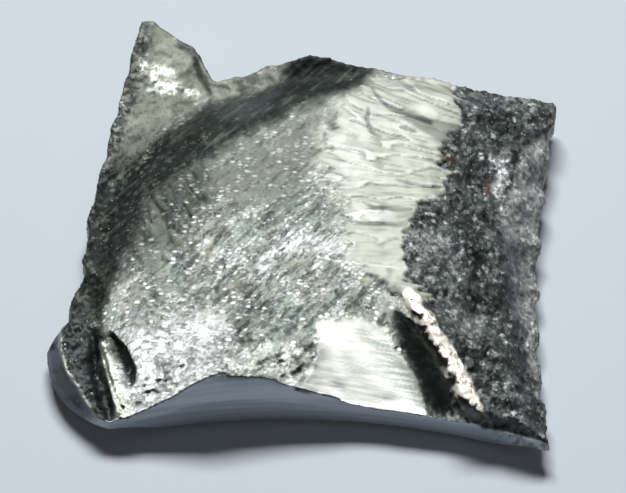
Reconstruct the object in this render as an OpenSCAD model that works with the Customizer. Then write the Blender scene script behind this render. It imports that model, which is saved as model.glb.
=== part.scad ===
// Lump of tin broken off a cast ingot, lying on its flat underside.
// It is one solid: a slab with a raised middle whose edges were pinched and torn thin.
// In plan, the front is a smooth hollow shear cut, the left and right sides are torn,
// the back is broken off straight, and a horn stands out at the back left.

/* [Front cut] */
// Length of the front cut, from the front left corner to the front right corner
front_len = 27.4; // [22:0.1:34]
// How far the front right corner lies ahead of the front left corner
front_skew = 1.6; // [0:0.1:4]
// How far the middle of the cut is hollowed back from a straight line
front_bow = 2; // [0:0.1:4]
// Height of the tallest place on the front edge
front_peak_h = 4.9; // [3.5:0.1:7]
// Distance of that place from the front left corner
front_peak_at = 7.2; // [5:0.1:12]
// Length over which the front edge falls away to the right of that place
front_fall_len = 11; // [7:0.1:15]
// How far the cut face leans back at its tallest place
front_lean = 1; // [0:0.1:2]

/* [Right and back edges] */
// Length of the torn right side
right_len = 24.6; // [20:0.1:32]
// How far the back right corner lies to the right of the front right corner
right_lean = 0.6; // [-2:0.1:3]
// How far the middle of the right side is hollowed
right_bow = 1; // [0:0.1:2.5]
// How far the right side's thin edge dips in its middle
right_dip = 0.7; // [0:0.1:1]
// Length of the straight back edge, from the back right corner to the crest
back_len = 15.5; // [10:0.1:18]
// How far the crest lies behind the back right corner
back_rise = 2.8; // [0:0.1:5]
// How far the middle of the back edge is hollowed
back_bow = 0.1; // [0:0.1:1.5]
// Distance from the crest to the bottom of the notch, along the width
notch_run = 6; // [4:0.1:8]
// How far the notch lies ahead of the crest
notch_drop = 1; // [0:0.1:3]

/* [Horn, left edge and nose] */
// Distance from the notch back to the horn's shoulder
shoulder_rise = 2.6; // [1:0.1:4]
// How far the horn's shoulder lies to the left of the notch
shoulder_run = 1.3; // [0.8:0.1:3]
// Width of the horn, from its shoulder to its blunt end
horn_w = 2.5; // [1.5:0.1:4]
// Length of the horn beyond its shoulder
horn_len = 1.9; // [1:0.1:4]
// Width of the horn's blunt end
horn_tip_w = 0.8; // [0.4:0.1:1.5]
// Length of the straight left edge, from the horn's tip to the waist
left_len = 15; // [11:0.1:18]
// How far the waist lies to the left of the horn's tip
left_lean = 3.3; // [1:0.1:5]
// How far the left edge is hollowed between the waist and the nose
waist_bow = 0.8; // [0:0.1:1.5]
// How far the nose stands out to the left of the front left corner
nose_reach = 3.9; // [2:0.1:6]
// Distance of the nose's tip behind the front left corner
nose_back = 5.6; // [3:0.1:8]
// How far the nose's side bulges out, ahead of its tip
nose_bulge = 1.2; // [0:0.1:1.5]
// How far the nose's side leans back at its top
nose_lean = 0.9; // [0:0.1:1.5]
// Depth of the ragged tearing along the torn edges, in plan
tear = 0.25; // [0:0.01:0.5]
// Height of the waves along the torn edges
edge_wave = 0.25; // [0:0.01:0.3]

/* [Edge heights] */
// Top of the thin edge at the front corners
corner_h = 2.1; // [1.7:0.1:3]
// Top of the thin edge at the back right corner
back_corner_h = 2.8; // [2:0.1:4]
// Top of the thin edge at the crest
crest_h = 4.2; // [2.5:0.1:5.5]
// Top of the thin edge along the horn and the left side
ledge_h = 2.6; // [1.8:0.1:3.5]
// Height of the edge's lower corner above the floor, where the underside is pinched up
lift = 1.1; // [0.5:0.1:1.5]
// Height of the front cut's lower corner above the floor, in the middle of the cut
front_lift = 0.25; // [0.1:0.05:0.45]
// Width of the pinched bevel round the underside
bevel = 2.6; // [1.5:0.1:4]

/* [Top surface] */
// Height of the raised middle
plateau_h = 6; // [4.6:0.1:8]
// How much lower the raised middle is at its rim than at its centre
crown = 1.2; // [0:0.1:1.6]
// Height of the slow waves over the raised middle
swell = 0.12; // [0:0.01:0.25]
// Distance of the raised middle's centre from the front left corner, along the width
plateau_x = 15; // [12:0.1:18]
// Distance of the raised middle's centre from the front left corner, along the depth
plateau_y = 9.6; // [7:0.1:13]
// Radius of the raised middle, on its left and back sides
plateau_r = 12.6; // [10:0.1:13.5]
// Share by which the raised middle reaches further out at its front
front_reach = 0.3; // [0:0.01:0.4]
// Share by which the raised middle reaches further out at its back right
back_reach = 0.25; // [0:0.01:0.35]
// Radius of the pinched valley that runs round it
valley_r = 16.6; // [15:0.1:18]
// Width of that valley
valley_w = 3.2; // [2:0.1:5]
// Depth of that valley below the ledge of the horn
valley_d = 0.15; // [0:0.05:1]
// Distance from the front left corner to the break line, where the granular fracture starts
break_x = 19.6; // [17:0.1:22]
// Width of the fracture, from the break line to its foot
break_w = 7; // [5:0.1:8]
// Height of the fracture's foot
break_h = 3.2; // [2.4:0.1:4.2]
// How far the break line wanders to either side
break_wander = 0.9; // [0:0.1:1.5]
// Distance of the smooth apron's left side from the front left corner
apron_x = 12.4; // [9:0.1:15]
// Length of the apron, back from the front edge
apron_len = 4.8; // [3:0.1:7]

/* [Burr and pinch mark] */
// Distance of the burr's back end from the front left corner, along the width
burr_x = 18.5; // [16:0.1:21]
// Distance of the burr's back end from the front left corner, along the depth
burr_y = 7; // [5:0.1:10]
// Length of the burr
burr_len = 8.9; // [5:0.1:10]
// Direction of the burr, turned to the right of straight forward
burr_turn = 32; // [10:1:50]
// Height of the burr
burr_h = 0.9; // [0.3:0.1:1.2]
// Width of the burr
burr_w = 1.2; // [0.8:0.1:1.6]
// Depth of the groove along the burr's left side
groove_d = 0.9; // [0:0.1:1.4]
// Width of that groove
groove_w = 2.4; // [1:0.1:3]
// Depth of the pinch mark across the nose
pinch_d = 0.5; // [0:0.1:0.9]
// Width of the pinch mark
pinch_w = 1.8; // [1:0.1:2.5]
// Length of the pinch mark, back from the front left corner
pinch_len = 6; // [3:0.1:8]

/* [Fineness] */
// Length of one step round the outline
edge_step = 0.7; // [0.6:0.1:1.5]
// Rings between the edge and the guide ring
outer_rings = 20; // [8:1:22]
// Rings between the guide ring and the middle
inner_rings = 8; // [4:1:12]

/* [Hidden] */

// The long and the short wavelength of the torn edges, in plan and in height, of the break line
// and of the swell
tear_waves = [3.1, 1.7];
height_waves = [7.3, 2.9];
break_waves = [9, 3.7];
swell_waves = [8.3, 5.1];
// Shares of the long and the short wave, and the short wave's shift in degrees
wave_shares = [0.6, 0.4];
wave_shift = 40;
// Length over which the tearing dies out at the ends of a side
tear_end = 1.2;
// Length over which the front cut's lower corner comes down at its ends
front_foot_run = 4;
// Length over which the nose's lean dies out, on both sides of its tip
nose_turn = 3.2;
// Width of the strip in which the top surface runs out to the thin edge
edge_strip = 2.4;
// Length over which the burr and the pinch mark die out at their ends
mark_end = 2.4;
// Width over which the apron's left side rises to the raised middle
apron_side = 2;
// Thickness that was rubbed off the underside's lowest place
rubbed = 0.4;
// Half axes of the guide ring, an ellipse well inside the outline
guide_axes = [8, 6.5];
// Share by which the guide ring's points are spread evenly, and not by their own direction
guide_even = 0.5;
// Distance of the rings' middle to the right of the notch
hub_right = 3.2;
// Rings up the side wall
wall_rings = 2;
// How much closer the outer rings lie near the edge
ring_crowding = 1.3;
// Margin of the floor block around the lump
floor_margin = 5;

function mix(a, b, t) = a + (b - a) * t;
function limit(t) = min(1, max(0, t));
function ease(t) = let (u = limit(t)) u * u * (3 - 2 * u);
function bell(x, width) = exp(-pow(2 * x / width, 2));
function waves(along, lengths) =
    wave_shares[0] * sin(360 * along / lengths[0])
        + wave_shares[1] * sin(360 * along / lengths[1] + wave_shift);

// Plan corners, drawn from the front left corner
front_left = [0, 0];
front_right = [front_len, -front_skew];
back_right = front_right + [right_lean, right_len];
crest = back_right + [-back_len, back_rise];
notch = crest + [-notch_run, -notch_drop];
shoulder = notch + [-shoulder_run, shoulder_rise];
horn_right = shoulder + [-horn_w, horn_len];
horn_left = horn_right - [horn_tip_w, 0];
waist = horn_left - [left_lean, left_len];
nose = [-nose_reach, nose_back];

// Middle of the rings, placed so that no edge of the notch points straight at it
hub = [notch.x + hub_right, plateau_y];
plateau = [plateau_x, plateau_y];

function inward(p, amount) = p + (hub - p) / norm(hub - p) * amount;

// Sides of the outline: start, end, inward bow, share of the tearing, edge height at both ends, dip
sides = [
    [front_left, front_right, front_bow, 0, corner_h, corner_h, 0],
    [front_right, back_right, right_bow, 1, corner_h, back_corner_h, right_dip],
    [back_right, crest, back_bow, 0.2, back_corner_h, crest_h, 0],
    [crest, notch, back_bow, 0.8, crest_h, ledge_h, 0],
    [notch, shoulder, 0, 0.5, ledge_h, ledge_h, 0],
    [shoulder, horn_right, back_bow, 0.4, ledge_h, ledge_h, 0],
    [horn_right, horn_left, 0, 0, ledge_h, ledge_h, 0],
    [horn_left, waist, 0, 0.4, ledge_h, ledge_h, 0],
    [waist, nose, waist_bow, 1, ledge_h, ledge_h, 0],
    [nose, front_left, -nose_bulge, 0, ledge_h, corner_h, 0]
];
front_side = 0;
nose_side = len(sides) - 1;

// How far a side leans back at its top: the front at its peak, both sides of the nose at its tip
function side_lean(index, peak, left_over) =
    index == front_side ? front_lean * peak
    : index == nose_side ? nose_lean * ease(left_over / nose_turn)
    : index == nose_side - 1 ? nose_lean * ease(1 - left_over / nose_turn)
    : 0;

// Share of the front edge's peak at a length along it: short rise on the left, long fall on the right
function front_peak(along) =
    along < front_peak_at
        ? ease(along / front_peak_at)
        : ease(1 - (along - front_peak_at) / front_fall_len);

// One side of the outline as points: [place, lower corner height, upper corner height, lean]
function side_points(index) =
    let (
        side = sides[index],
        start = side[0],
        run = side[1] - start,
        bow = side[2],
        tearing = side[3],
        heights = [side[4], side[5]],
        dip = side[6],
        length = norm(run),
        across = [-run.y, run.x] / length,
        steps = max(1, round(length / edge_step))
    )
    [for (i = [0 : steps - 1])
        let (
            t = i / steps,
            along = t * length,
            from_end = min(along, length - along),
            middle = 4 * t * (1 - t),
            ragged = tearing * ease(from_end / tear_end),
            torn = ragged * tear * waves(along, tear_waves),
            wavy = ragged * edge_wave * waves(along, height_waves),
            peak = index == front_side ? front_peak(along) : 0,
            foot = index == front_side ? mix(lift, front_lift, ease(from_end / front_foot_run)) : lift
        )
        [
            start + run * t + across * (bow * middle + torn),
            foot + wavy,
            mix(mix(heights[0], heights[1], t), front_peak_h, peak) - dip * middle + wavy,
            side_lean(index, peak, length - along)
        ]
    ];

outline = [for (i = [0 : len(sides) - 1]) each side_points(i)];
count = len(outline);

// Guide ring: each point's direction lies between its own and an even share of the turn
function turn(p) = atan2(p.y - hub.y, p.x - hub.x);
first_turn = turn(outline[0][0]);
function guide(i) =
    let (
        own = (turn(outline[i][0]) - first_turn + 720) % 360,
        a = first_turn + mix(own, 360 * i / count, guide_even)
    )
    hub + [guide_axes.x * cos(a), guide_axes.y * sin(a)];

// Raised middle with its crown and swell, falling to the ledge through the pinched valley
function dome(p) =
    let (
        q = p - plateau,
        depth = q.y < 0 ? q.y * (1 - front_reach) : q.y,
        d = norm([q.x, depth]) * (1 - back_reach * ease(q.x / plateau_r)),
        ripple = swell * waves(p.x + p.y, swell_waves) * waves(p.x - p.y, swell_waves),
        middle = plateau_h - crown * ease(d / plateau_r) + ripple
    )
    mix(middle, ledge_h, ease((d - plateau_r) / (valley_r - plateau_r)))
        - valley_d * bell(d - valley_r, valley_w);

// Share of the granular fracture, from the wandering break line to the right
function fracture(p) = ease((p.x - break_x - break_wander * waves(p.y, break_waves)) / break_w);

// Front edge in plan, and its top, at a place along the width
function front_line(x) = let (t = limit(x / front_len)) 4 * front_bow * t * (1 - t) - front_skew * t;
function front_top(x) = mix(corner_h, front_peak_h, front_peak(x));

// Raised middle with the smooth apron, a straight ramp that falls from it to the front edge
function aproned(p) =
    let (
        middle = dome(p),
        ramp = mix(front_top(p.x), middle, (p.y - front_line(p.x)) / apron_len)
    )
    mix(middle, min(middle, ramp), ease((p.x - apron_x) / apron_side));

// Burr and the groove on its left, along a straight line
burr_way = [sin(burr_turn), -cos(burr_turn)];
function burr(p) =
    let (
        q = p - [burr_x, burr_y],
        along = q * burr_way,
        left = q.x * burr_way.y - q.y * burr_way.x,
        from_end = min(along, burr_len - along),
        ridge = burr_h * bell(left, burr_w),
        groove = groove_d * bell(left - (burr_w + groove_w) / 2, groove_w)
    )
    (ridge - groove) * ease((from_end + mark_end / 2) / mark_end);

// Depth of the pinch mark, a channel that runs back across the nose from the front left corner
function pinch(p) = pinch_d * bell(p.x - front_left.x, pinch_w) * ease((pinch_len - p.y) / mark_end);

function top_height(p) = mix(aproned(p), break_h, fracture(p)) + burr(p) - pinch(p);

// Rings of points from the underside to the middle of the top
function upper_corner(p) = inward(p[0], p[3]);
foot_ring = [for (p = outline) [each inward(p[0], bevel * (p[1] + rubbed) / p[1]), -rubbed]];
function wall_ring(t) = [for (p = outline) [each mix(p[0], upper_corner(p), t * t), mix(p[1], p[2], t)]];
function outer_ring(t) =
    [for (i = [0 : count - 1])
        let (
            edge = upper_corner(outline[i]),
            p = mix(edge, guide(i), t)
        )
        [each p, mix(outline[i][2], top_height(p), ease(norm(p - edge) / edge_strip))]
    ];
function inner_ring(t) =
    [for (i = [0 : count - 1])
        let (p = mix(guide(i), hub, t))
        [each p, top_height(p)]
    ];

rings = concat(
    [foot_ring],
    [for (k = [0 : wall_rings]) wall_ring(k / wall_rings)],
    [for (k = [1 : outer_rings]) outer_ring(pow(k / outer_rings, ring_crowding))],
    [for (k = [1 : inner_rings - 1]) inner_ring(k / inner_rings)]
);
last = len(rings) - 1;
foot_middle = count * len(rings);
top_middle = foot_middle + 1;
points = concat([for (ring = rings) each ring], [[each hub, -rubbed], [each hub, top_height(hub)]]);
faces = concat(
    [for (i = [0 : count - 1]) [foot_middle, i, (i + 1) % count]],
    [for (k = [0 : last - 1], i = [0 : count - 1])
        let (a = k * count + i, b = k * count + (i + 1) % count)
        each [[a, a + count, b + count], [a, b + count, b]]
    ],
    [for (i = [0 : count - 1]) [top_middle, last * count + (i + 1) % count, last * count + i]]
);

// The origin lies on the floor, under the middle of the outline's box
xs = [for (p = outline) p[0].x];
ys = [for (p = outline) p[0].y];
low = [min(xs), min(ys)];
high = [max(xs), max(ys)];

// What lies below the floor plane, which the underside is rubbed flat to
module below_floor() {
    translate([low.x - floor_margin, low.y - floor_margin, -2 * rubbed])
        cube([high.x - low.x + 2 * floor_margin, high.y - low.y + 2 * floor_margin, 2 * rubbed]);
}

module ingot() {
    color("silver")
        translate([-(low.x + high.x) / 2, -(low.y + high.y) / 2, 0])
            difference() {
                polyhedron(points = points, faces = faces);
                below_floor();
            }
}

ingot();
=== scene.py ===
"""Lump of tin broken off a cast ingot: a dense copy of the solid that carries its relief and finish.

Marks on the surface are laid out in millimetres, as (right, up) on the sight plane. That plane is square to
a line of sight from the front, and its origin is the foot of the front cut's middle.
"""
import math
from types import SimpleNamespace

import bpy
import numpy as np
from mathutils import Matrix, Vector, noise


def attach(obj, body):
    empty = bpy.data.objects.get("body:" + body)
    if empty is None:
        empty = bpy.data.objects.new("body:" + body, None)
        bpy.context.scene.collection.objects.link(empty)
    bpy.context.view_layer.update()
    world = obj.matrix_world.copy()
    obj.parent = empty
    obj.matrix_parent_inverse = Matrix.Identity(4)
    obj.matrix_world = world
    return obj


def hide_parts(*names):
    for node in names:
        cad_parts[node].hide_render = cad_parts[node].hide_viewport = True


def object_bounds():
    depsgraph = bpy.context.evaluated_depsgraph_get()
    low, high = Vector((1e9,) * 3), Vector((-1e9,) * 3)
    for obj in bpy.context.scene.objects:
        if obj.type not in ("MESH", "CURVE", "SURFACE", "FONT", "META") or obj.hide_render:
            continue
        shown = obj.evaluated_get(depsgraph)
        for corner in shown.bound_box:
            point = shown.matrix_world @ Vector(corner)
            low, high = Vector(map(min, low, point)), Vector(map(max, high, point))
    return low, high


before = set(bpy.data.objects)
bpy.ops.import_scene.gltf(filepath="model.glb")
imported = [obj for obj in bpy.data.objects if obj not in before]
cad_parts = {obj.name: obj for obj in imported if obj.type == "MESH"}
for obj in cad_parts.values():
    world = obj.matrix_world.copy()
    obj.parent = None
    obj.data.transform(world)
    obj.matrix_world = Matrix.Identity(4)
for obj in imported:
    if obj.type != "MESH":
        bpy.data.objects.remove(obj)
cad_low, cad_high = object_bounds()
scene = bpy.context.scene
scene.view_settings.view_transform = "Standard"

MM = 0.001

# Front cut in millimetres: its length, how far its right end lies ahead, its hollow, how far the nose reaches
# past its left end, and the plan place of that end
FRONT_LEN = 27.4
FRONT_SKEW = 1.6
FRONT_BOW = 2.0
NOSE_REACH = 3.9
FRONT_LEFT = (cad_low[0] / MM + NOSE_REACH, cad_low[1] / MM + FRONT_SKEW)

# Sight plane: its line of sight's height, and the plan place of its origin in millimetres
SIGHT_HEIGHT = math.radians(58)
SIGHT_ORIGIN = (FRONT_LEFT[0] + 12.1, FRONT_LEFT[1] + 1.4)

# Mesh of the lump: size of its cells in millimetres, and share of the underside's faces that is kept
CELL = 0.116
UNDERSIDE_KEPT = 0.05

# Steps of smoothing: the first keeps the volume, the last takes lumps away
SMOOTHING = [0.5, -0.52] * 8
LIGHT_SMOOTHING = [0.5, -0.52] * 2
EVENING = [0.5] * 30

# Paths on the sight plane: right, up, half width
GROOVE = [(5.9, 6.4, 0.3), (6.9, 4.6, 0.7), (7.9, 2.5, 0.8), (8.7, 0.4, 0.7)]
BURR = [(6.55, 7.8, 0.3), (7.5, 6.25, 0.55), (8.65, 4.25, 0.64), (9.85, 2.2, 0.64), (10.85, 0.3, 0.42)]
PEAK_SMUDGE = [(-5.4, 4.1, 0.3), (-4.3, 5.5, 0.5), (-3.6, 6.5, 0.5), (-2.9, 7.2, 0.2)]
FOIL_SMUDGE = [(-2.5, 12.2, 0.2), (-1.4, 13.5, 0.4), (-0.5, 14.5, 0.2)]
FOIL_BAR = [(-2.6, 9.8, 0.3), (-0.4, 11.3, 0.5), (3.4, 10.9, 0.5), (5.6, 10.2, 0.2)]
NOSE_RIM = [
    (-15.0, 5.9, 0.05), (-15.2, 4.6, 0.06), (-14.7, 3.2, 0.06), (-13.9, 1.8, 0.06), (-13.1, 0.5, 0.06),
    (-12.3, -0.2, 0.05), (-11.5, -0.4, 0.04),
]
NOSE_CHANNEL = [(-13.2, 5.2, 0.1), (-12.9, 3.6, 0.35), (-12.4, 1.6, 0.4), (-11.9, 0.0, 0.3)]
NOSE_RIB = [(-12.5, 4.6, 0.25), (-12.1, 3.2, 0.45), (-11.6, 1.9, 0.5), (-11.2, 0.6, 0.5)]
NOSE_SLOT = [(-12.0, 5.3, 0.2), (-11.4, 4.3, 0.4), (-10.9, 3.2, 0.45), (-10.8, 2.4, 0.3)]
SKIRT_SHADE = [(-15.5, 5.7, 0.1), (-15.7, 4.7, 0.3)]
HORN_SIDE = [
    (-10.0, 24.8, 0.4), (-10.7, 22.6, 0.9), (-11.5, 19.8, 0.8), (-12.4, 16.6, 0.8), (-13.0, 13.8, 1.1),
]
HORN_EDGE = [(-7.8, 23.7, 0.15), (-7.1, 23.0, 0.3), (-6.8, 22.2, 0.25), (-6.6, 21.5, 0.15)]
# Painted highlight: the horn's white glints
HORN_GLINT = [(-9.9, 22.4, 0.3), (-9.3, 21.5, 0.6), (-8.2, 20.8, 0.5), (-6.8, 20.4, 0.3)]
BAND_SLATE = [(-5.2, 19.2, 0.3), (-3.6, 19.5, 0.5), (-1.8, 20.3, 0.3)]
# Painted light: pale and white tint on slopes at the burr's foot that face the front, which the key lamp does
# not reach
LOW_GLINT = [(9.1, 0.7, 0.25), (9.8, 0.3, 0.4), (10.6, -0.2, 0.35)]
BURR_FOOT_PAINTED_LIGHT = [(9.8, 1.8, 0.3), (10.5, 0.8, 0.45), (10.9, 0.2, 0.35)]
APRON_TAIL = [(-1.5, 2.9, 0.1), (-0.2, 2.8, 0.35), (1.0, 3.0, 0.7)]
APRON_SHADE = [(3.9, 5.4, 0.3), (5.2, 4.2, 0.7), (6.2, 2.8, 0.9), (7.1, 1.2, 0.5)]
BACK_STRIP = [(-6.2, 20.4, 0.3), (-5.0, 20.8, 0.7), (-3.0, 21.2, 0.8), (-1.2, 22.0, 0.6), (0.2, 22.6, 0.2)]
# Dark lines: real crack lines, and in the pale patch painted shadows under the lips of sheets; all are cut in
# a little and painted dark
CRACKS_AND_LIP_SHADOWS = [
    [(4.3, 20.7, 0.03), (4.9, 19.9, 0.06), (5.5, 19.4, 0.05), (6.6, 19.1, 0.12), (8.0, 18.5, 0.1)],
    [(4.1, 19.5, 0.03), (4.0, 18.7, 0.06), (4.2, 18.0, 0.05), (4.9, 17.6, 0.02)],
    [(5.8, 14.9, 0.02), (7.3, 14.6, 0.04), (8.5, 14.4, 0.02)],
    [(3.8, 13.6, 0.02), (4.4, 13.2, 0.05), (5.6, 13.1, 0.04), (6.8, 13.0, 0.03)],
    [(3.2, 12.2, 0.02), (4.8, 12.2, 0.05), (6.5, 12.2, 0.03)],
    [(-6.9, 22.6, 0.08), (-6.4, 21.3, 0.1), (-5.9, 20.4, 0.05)],
]
SCRATCHES = [
    [(0.3, 15.5, 0.03), (2.7, 15.0, 0.03)], [(0.7, 15.1, 0.03), (4.4, 14.7, 0.02)],
    [(1.2, 10.1, 0.03), (5.9, 9.4, 0.03)],
]
RUST_SPOTS = [[(11.3, 14.9, 0.1), (11.7, 14.2, 0.2)], [(8.8, 16.4, 0.2), (9.4, 16.0, 0.25)]]
DARK_SPOTS = [
    [(9.6, 18.4, 0.4), (10.9, 18.9, 0.5), (12.9, 18.3, 0.8)], [(9.6, 12.6, 0.4), (10.8, 11.6, 0.5)],
    [(8.9, 14.9, 0.4), (11.0, 14.9, 0.5)], [(6.9, 12.4, 0.3), (8.6, 12.7, 0.5)],
    [(10.4, 9.4, 0.4), (11.2, 8.3, 0.5), (12.3, 7.6, 0.6)],
]
LIGHT_SPOTS = [[(8.0, 10.6, 0.6), (9.6, 10.0, 0.7)], [(9.2, 7.0, 0.6), (10.6, 6.0, 0.8)]]

# Patches on the sight plane: right, up
# The dark band's near-black colour is painted shade: the slope faces back and left, away from the light
DARK_BAND = [
    (-15.6, 5.8), (-15.2, 9.4), (-14.8, 11.4), (-14.3, 13.4), (-13.4, 15.0), (-11.8, 15.9), (-9.6, 17.6),
    (-6.1, 19.5), (-3.4, 20.3), (-1.6, 21.4), (-0.6, 23.2), (4.9, 22.6), (4.6, 21.3), (1.9, 20.1),
    (-1.7, 18.5), (-3.9, 17.7), (-5.4, 16.4), (-8.4, 14.7), (-9.7, 13.4), (-10.8, 11.2), (-11.4, 9.4),
    (-12.1, 7.5), (-12.6, 5.8),
]
DULL_FOIL = [(-9.0, 14.5), (-5.0, 17.0), (-1.0, 18.8), (1.4, 19.4), (1.6, 16.2), (-1.0, 14.2), (-5.0, 12.8)]
PALE_PATCH = [
    (2.3, 19.4), (4.3, 21.2), (6.1, 21.5), (9.5, 20.9), (9.9, 18.6), (8.8, 16.9), (8.5, 15.9), (9.2, 15.1),
    (8.6, 14.4), (7.1, 12.9), (6.4, 12.0), (6.3, 10.9), (6.1, 9.9), (6.6, 8.8), (7.9, 7.5), (7.3, 7.2),
    (5.1, 8.4), (3.2, 9.9), (2.6, 11.6), (3.1, 12.8), (2.6, 14.4), (1.6, 15.3), (1.4, 17.5),
]
WHITE_BLOBS = [(1.4, 19.1), (2.9, 19.2), (4.2, 18.9), (4.2, 16.9), (4.5, 15.3), (2.6, 15.0), (1.7, 15.9)]
WHITE_LIP = [(3.0, 12.3), (3.3, 13.5), (4.3, 13.2), (5.4, 12.9), (5.6, 12.3)]
# A facet of the pale patch, painted grey: painted shade
GREY_FACET = [(6.0, 19.0), (9.8, 18.4), (9.6, 17.2), (8.8, 17.0), (7.6, 17.9)]
FRACTURE = [
    (9.6, 21.2), (16.2, 20.2), (15.8, -2.2), (11.0, -0.8), (10.8, 0.1), (6.6, 7.6), (7.9, 7.5), (6.6, 8.8),
    (6.1, 9.9), (6.3, 10.9), (6.4, 12.0), (7.1, 12.9), (8.6, 14.4), (9.2, 15.1), (8.5, 15.9), (8.8, 16.9),
    (9.9, 18.6),
]
BROKEN_END = [(10.4, 0.6), (16.2, 0.6), (15.9, -1.35), (11.2, -0.5)]
RIGHT_STRIP = [
    (13.9, 17.0), (16.2, 19.0), (15.8, -2.2), (14.5, 2.5), (13.6, 5.6), (12.6, 10.0), (12.8, 13.8),
]
BRIGHT_FLAKE = [(11.6, 16.8), (12.8, 16.6), (12.7, 15.3), (12.2, 13.9), (11.7, 14.4), (12.0, 15.5)]
APRON = [
    (1.1, 6.2), (4.1, 6.5), (5.0, 5.7), (5.6, 4.5), (6.8, 2.9), (7.5, 1.1), (7.9, 0.2), (6.3, 0.0),
    (3.7, 0.5), (2.1, 1.3), (-0.6, 1.9), (0.4, 2.9), (1.0, 4.2),
]
PALE_FRONT = [
    (-4.4, 4.6), (-2.6, 5.0), (0.8, 5.0), (1.6, 3.4), (1.4, 2.1), (-0.4, 2.4), (-2.6, 2.9), (-4.6, 3.0),
]
# Foil at the front left, painted brighter: painted light on foil that slopes towards the front and the left
BRIGHT_FOIL = [
    (-11.1, 5.6), (-5.5, 6.9), (-4.3, 4.7), (-6.1, 3.0), (-8.9, 0.7), (-11.1, 0.0), (-11.6, 1.6),
    (-10.8, 3.8),
]
STEEP_FOIL = [(-11.4, 4.4), (-7.9, 4.4), (-8.0, 1.9), (-9.5, 1.3), (-11.4, 0.9)]
STEEP_LIP = [(-1.6, 5.0), (1.4, 5.0), (1.6, 1.6), (-0.4, 1.8), (-1.6, 2.2)]
APRON_SIDE = [(0.9, 4.6), (2.4, 4.6), (2.6, 1.4), (0.9, 1.9)]
APRON_FOOT = [(2.5, 4.0), (5.0, 4.0), (5.0, 0.8), (2.5, 1.2)]
WEAVE = [(-3.5, 13.5), (1.5, 14.0), (3.0, 11.5), (5.5, 9.6), (1.0, 8.4), (-4.0, 9.5)]
FIBRES = [
    (-10.2, 15.9), (-6.4, 16.9), (-5.5, 15.0), (-6.1, 12.8), (-8.0, 10.6), (-9.6, 9.4), (-10.8, 10.6),
    (-10.9, 12.8),
]
DARK_FIBRES = [(-9.9, 16.0), (-6.6, 16.8), (-5.8, 15.0), (-6.4, 13.2), (-8.6, 12.6), (-10.0, 13.6)]
NOSE = [
    (-17.0, 5.2), (-14.2, 6.5), (-12.7, 5.8), (-11.9, 4.7), (-11.7, 1.2), (-12.1, -0.4), (-13.0, -1.5),
    (-17.0, -1.5),
]
SKIRT = [*((right, up) for right, up, _ in NOSE_RIM), (-11.5, -2.0), (-17.0, -2.0), (-17.0, 5.9)]
HORN = [
    (-10.3, 25.2), (-9.3, 25.1), (-6.8, 23.4), (-6.4, 21.8), (-1.5, 21.8), (-1.2, 20.6), (-6.2, 20.0),
    (-9.2, 17.8), (-11.6, 15.0), (-12.9, 14.2), (-12.6, 17.0), (-11.4, 21.2),
]

# Steep places behind the front cut, and the ramp that each is cut back to: its height at the cut, its rise
STEEP_PLACES = [
    (PALE_FRONT, 3.0, 1.15), (STEEP_LIP, 2.75, 1.1), (STEEP_FOIL, 2.15, 0.95), (APRON_SIDE, 2.5, 0.95),
    (APRON_FOOT, 1.95, 0.9),
]

# Heights of the relief in millimetres
RISE = SimpleNamespace(
    lumps=0.06, facets=0.06, strokes=0.02, tone=0.02, sheets=0.07, threads=0.02, pale_lumps=0.05,
    pale_lift=0.14, fibres=0.16, crystals=0.11, crystal_grit=0.05, break_crumbs=0.1, band_streaks=0.06,
    band_crumbs=0.05, band_grit=0.03, cut_lines=0.018, apron_smears=0.01, beads=0.35, bead_gaps=-0.1,
    groove_crumbs=0.14, groove_grit=0.06, groove=-0.22, cracks_and_lip_shadows=-0.12, horn_crumbs=0.07, horn_grit=0.03,
    horn_side_grit=0.08, nose_crumbs=0.08, nose_grit=0.05, rib=0.22, flutes=0.05, slot=-0.3, channel=-0.3,
    nose_rim=0.05, wall_grit=0.1, wall_crumbs=0.07, under_lumps=0.02,
)

# Cells of the finish: length, width and height in millimetres, and the direction of the length in degrees
LONG_FACET = ((0.8, 0.29, 0.5), 45)
LEVEL_FACET = ((0.5, 0.3, 0.5), -5)
FINE_FACET = ((0.19, 0.15, 0.2), 30)
COARSE_GRAIN = ((0.28, 0.28, 0.28), 0)
FINE_GRAIN = ((0.14, 0.14, 0.14), 0)
DOT = ((0.34, 0.29, 0.4), 45)
DASH = ((0.5, 0.26, 0.4), -5)
FLECK = ((0.28, 0.17, 0.3), 8)
RULED_LINE = ((1.6, 0.29, 0.5), 45)
SPARK = ((0.17, 0.17, 0.17), 0)

# Camera: lens and sensor in millimetres, the place it looks at, in millimetres from the sight plane's origin,
# and its distance from there in metres
LENS = 1200
SENSOR_WIDTH = 36
LOOK_AT = (0.62, 10.91, 3.0)
CAMERA_DISTANCE = 1.304

# Half of the floor's width, in metres
FLOOR_HALF = 1.0


def linear(red, green, blue):
    """A colour written in screen values from 0 to 255, as the shader takes it."""
    shares = np.array((red, green, blue)) / 255
    return np.where(shares <= 0.04045, shares / 12.92, ((shares + 0.055) / 1.055) ** 2.4)


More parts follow.
